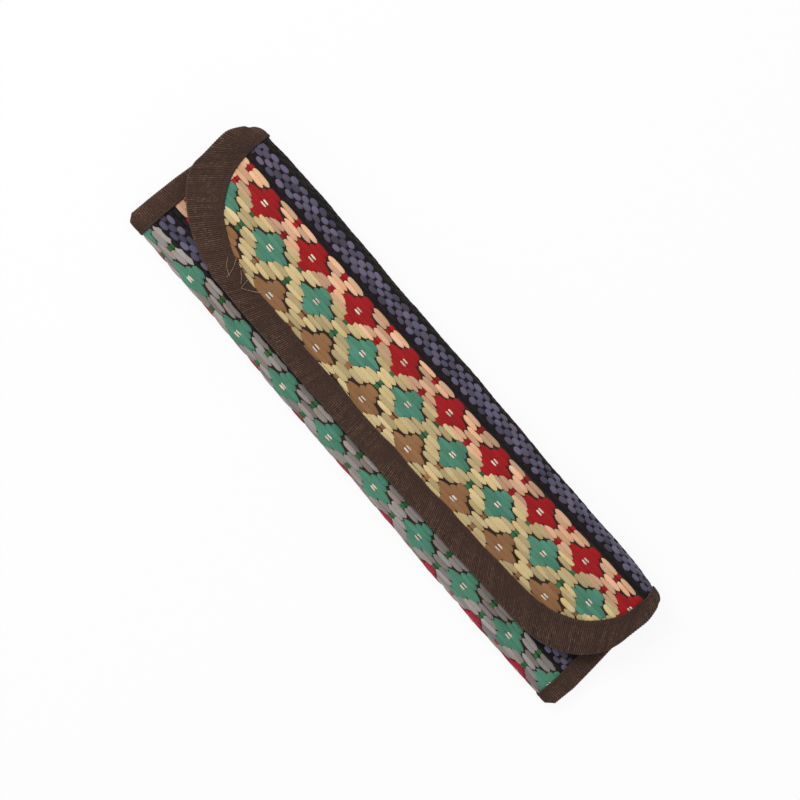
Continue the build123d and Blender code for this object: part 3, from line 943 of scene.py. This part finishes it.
flapStitches = stitchPiece("flapStitches", [between(innerPath, outerPath)])
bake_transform(flapStitches)
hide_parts("flap_stitches", "left_spine_stitches", "right_spine_stitches")
for side in sideOf:
    endRow = between(*endRun(side, midSpine, mouthAt - 8))
    piece = stitchPiece(side + "EndStitches", [endRow])
    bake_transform(piece)
    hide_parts(side + "_end_stitches", side + "_spine_stitches")
mouthRow = layout(mouthAt - tape["mouthWidth"] + 1.3, np.linspace(-116, 116, 80))
mouthStitches = stitchPiece("mouthStitches", [mouthRow])
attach(mouthStitches, "pocket")
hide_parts("mouth_stitches")


# Loose fibres caught on the flap's binding

fibres = {
    "middleX": -84.5, "middleS": 4.5, "spreadX": 4.0, "spreadS": 1.6,
    "height": 0.5, "arch": 0.25, "width": 0.15, "length": (6.0, 10.0),
    "bend": 0.13,  # radians of turn per millimetre
    "rings": 12, "around": 4, "count": 6,
}


def fibreShape():
    rings = fibres["rings"]
    turn = np.linspace(0, 2 * math.pi, fibres["around"], endpoint=False)
    sideways = np.cos(turn) * fibres["width"] / 2
    upward = np.sin(turn) * fibres["width"] / 2
    h = fibres["height"] + np.sin(np.linspace(0, math.pi, rings)) * fibres["arch"]
    heading = dice.uniform(0, math.pi)
    bend = dice.uniform(-fibres["bend"], fibres["bend"])
    pace = dice.uniform(*fibres["length"]) / rings
    headings = heading + bend * pace * np.arange(rings)
    step = np.stack([np.sin(headings), np.cos(headings)], -1)
    startX = fibres["middleX"] + dice.uniform(-1, 1) * fibres["spreadX"]
    startS = fibres["middleS"] + dice.uniform(-1, 1) * fibres["spreadS"]
    s, x = startS + np.cumsum(step[:, 0]) * pace, startX + np.cumsum(step[:, 1]) * pace
    uvs = layout(np.arange(rings)[:, None] * pace, turn * 0.1)
    return (*threadTube(s, x, h, step, sideways, upward), uvs)


fibreMaterial = clothMaterial("strayFibre", (150, 128, 104), (204, 182, 154), 0.3)
tangle = joined([fibreShape() for _ in range(fibres["count"])])
looseFibres = meshPiece("looseFibres", tangle, [fibreMaterial])
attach(looseFibres, "flap")


# Hook-and-loop strips, under the flap and on the pocket's front

strips = {
    "length": 55.0, "width": 16.0, "corner": 2.0, "x": 62.0, "y": -1.5,
    "inset": 1.6, "stitchTall": 0.2,  # distance of the stitches from the strip's edge, and their height
    "loopTall": 0.42, "loopPile": 0.07,  # height of the pile and its unevenness
}
hooks = {
    "alongCount": 27, "alongPitch": 1.95, "acrossCount": 8, "acrossPitch": 1.7, "stray": 0.1,
    "bend": 235.0,  # degrees that a hook curls over
    "rings": 7, "radius": 0.3, "halfWidth": 0.13,
}
loopCloth = clothMaterial("loopPile", (24, 17, 13), (58, 43, 34), 0.35, bump=1.0, sheen=0.15)
hookPlastic, hookTree, hookShader = baseMaterial("hookPlastic")
hookGrain = addNode(hookTree, "TexNoise", {"Scale": 900.0}).outputs["Fac"]
hookTone = mixColours(hookTree, hookGrain, linear(30, 23, 18), linear(52, 40, 32))
feed(hookTree, hookShader, {"Base Color": hookTone, "Roughness": 0.45})


def stripSlab(x0, middleS, low, high, pile):
    # A rounded rectangle of tape between two heights over the cloth
    u, v = np.meshgrid(np.linspace(-1, 1, 56), np.linspace(-1, 1, 18), indexing="ij")
    halfX, halfS, corner = strips["length"] / 2, strips["width"] / 2, strips["corner"]
    toEdge = np.clip(halfS - np.abs(v) * halfS, 0, corner)
    cutBack = corner - np.sqrt(np.clip(corner ** 2 - (corner - toEdge) ** 2, 0, None))
    x = x0 + u * (halfX - cutBack)
    s = middleS + v * halfS
    rim = np.minimum(1 - np.abs(u), (1 - np.abs(v)) * halfS / halfX)
    h = low + (high - low) * smooth(0, 0.03, rim) + pile * noise.uniform(-1, 1, u.shape)
    return clothPlace(s, x, h).reshape(-1, 3), gridFaces(*u.shape), layout(x, s)


def hookShapes(x0, middleS, base):
    # Small bent hooks in rows
    rings = hooks["rings"]
    turn = np.linspace(0, math.radians(hooks["bend"]), rings)
    rise = 0.25 + hooks["radius"] * np.sin(turn)
    rise[0] = -0.1
    ribbon = gridFaces(2, rings)
    uvs = layout(np.arange(rings) * 0.1, np.arange(2)[:, None] * 0.3)
    for i in range(hooks["alongCount"]):
        for j in range(hooks["acrossCount"]):
            x = x0 + (i - 13) * hooks["alongPitch"] + dice.uniform(-hooks["stray"], hooks["stray"])
            s = middleS + (j - 3.5) * hooks["acrossPitch"] + dice.uniform(-hooks["stray"], hooks["stray"])
            lean = 1 if j % 2 else -1
            edges = s + np.array([[-1], [1]]) * hooks["halfWidth"]
            points = clothPlace(edges, x + lean * hooks["radius"] * (1 - np.cos(turn)), base - rise * 0.9)
            yield points.reshape(-1, 3), ribbon, uvs


stripPlaces = {side: sign * strips["x"] for side, sign in sideOf.items()}
inside = -case["wall"]
loopS = frontAt + strips["y"] - case["foldY"] - case["foldRadius"]
hookS = strips["y"] - flapEdgeY
for side, x0 in stripPlaces.items():
    loops = stripSlab(x0, loopS, 0.0, strips["loopTall"], strips["loopPile"])
    loopStrip = meshPiece(side + "LoopStrip", loops, [loopCloth])
    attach(loopStrip, "pocket")
    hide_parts(side + "_loop_strip")
    points, faces, uvs = stripSlab(x0, hookS, inside - 0.02, inside - 0.18, 0.0)
    hooked = joined([(points, faces[:, ::-1], uvs), *hookShapes(x0, hookS, inside - 0.1)])
    hookStrip = meshPiece(side + "HookStrip", hooked, [hookPlastic])
    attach(hookStrip, "flap")
    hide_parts(side + "_hook_strip")


def stripRuns(middleS):
    runs = []
    halfX = strips["length"] / 2 - strips["inset"]
    halfS = strips["width"] / 2 - strips["inset"]
    for x0 in stripPlaces.values():
        for edge in (-1, 1):
            runs.append(layout(middleS + edge * halfS, np.linspace(x0 - halfX + 2, x0 + halfX - 2, 30)))
            runs.append(layout(np.linspace(middleS - halfS, middleS + halfS, 10), x0 + edge * halfX))
    return runs


loopStitches = stitchPiece("loopStripStitches", stripRuns(loopS), 0.46, tall=strips["stitchTall"])
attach(loopStitches, "pocket")
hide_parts("loop_strip_stitches")
hookStitches = stitchPiece("hookStripStitches", stripRuns(hookS), inside - 0.22, -1, strips["stitchTall"])
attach(hookStitches, "flap")
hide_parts("hook_strip_stitches")
print("pieces made")


# Floor, light and camera

studio = {
    "pixelsPerMm": 2.407,
    "objectMiddle": (399.1, 411.3),  # where the case's middle is in the picture
    "pictureMiddle": 400.0,
    "turn": 49.476,  # degrees that the case is turned in the picture
    "lens": 150.0, "sensor": 36.0, "lookHeight": 10.0,
    "skyStrength": 0.62, "keyPower": 5.5, "keySize": 0.7,
    "keyPlace": (-0.45, 0.55, 0.9),  # metres to the right, up the picture and above the floor
    "floorHalf": 3.0,
    "floorGlow": 0.9,  # share of the floor's own light where it is looked at
}

floorMesh = bpy.data.meshes.new("floor")
half = studio["floorHalf"]
floorCorners = [(-half, -half, 0), (half, -half, 0), (half, half, 0), (-half, half, 0)]
floorMesh.from_pydata(floorCorners, [], [(0, 1, 2, 3)])
floor = link(bpy.data.objects.new("floor", floorMesh))
floor.location.z = -0.0002
floorMaterial = bpy.data.materials.new("floorPaper")
floorMaterial.use_nodes = True
tree = floorMaterial.node_tree
tree.nodes.clear()
paper = addNode(tree, "BsdfDiffuse", {"Color": (0.95, 0.95, 0.95, 1)}).outputs[0]
glow = addNode(tree, "Emission").outputs[0]
rays = addNode(tree, "LightPath").outputs
seen = maths(tree, "MAXIMUM", rays["Is Camera Ray"], rays["Is Glossy Ray"])
seen = maths(tree, "MAXIMUM", seen, rays["Is Transmission Ray"])
glowShare = maths(tree, "MULTIPLY", seen, studio["floorGlow"])
floorLook = addNode(tree, "MixShader", {0: glowShare, 1: paper, 2: glow}).outputs[0]
addNode(tree, "OutputMaterial", {0: floorLook})
floorMesh.materials.append(floorMaterial)

world = bpy.data.worlds.new("softSky")
bpy.context.scene.world = world
world.use_nodes = True
sky = world.node_tree
cameraRay = addNode(sky, "LightPath").outputs["Is Camera Ray"]
strength = ranged(sky, cameraRay, 0.0, 1.0, studio["skyStrength"], 1.0)
feed(sky, sky.nodes["Background"], {"Color": (1, 1, 1, 1), "Strength": strength})

turn = math.radians(studio["turn"])
right = Vector((math.cos(turn), math.sin(turn), 0))
up = Vector((-math.sin(turn), math.cos(turn), 0))

key = bpy.data.lights.new("window", "AREA")
key.shape = "DISK"
key.size = studio["keySize"]
key.energy = studio["keyPower"]
keyObject = link(bpy.data.objects.new("window", key))
keyRight, keyUp, keyHeight = studio["keyPlace"]
keyObject.location = right * keyRight + up * keyUp + Vector((0, 0, keyHeight))
keyObject.rotation_euler = (-keyObject.location).to_track_quat("-Z", "Y").to_euler()

pixel = mm / studio["pixelsPerMm"]
offsetX = (studio["pictureMiddle"] - studio["objectMiddle"][0]) * pixel
offsetY = (studio["objectMiddle"][1] - studio["pictureMiddle"]) * pixel
distance = 2 * studio["pictureMiddle"] * pixel * studio["lens"] / studio["sensor"]
cameraData = bpy.data.cameras.new("camera")
cameraData.lens = studio["lens"]
cameraData.sensor_width = studio["sensor"]
camera = link(bpy.data.objects.new("camera", cameraData))
camera.location = right * offsetX + up * offsetY + Vector((0, 0, studio["lookHeight"] * mm + distance))
camera.rotation_euler = (0, 0, turn)
bpy.context.scene.camera = camera
bpy.context.scene.view_settings.view_transform = "Standard"

print("scene ready")
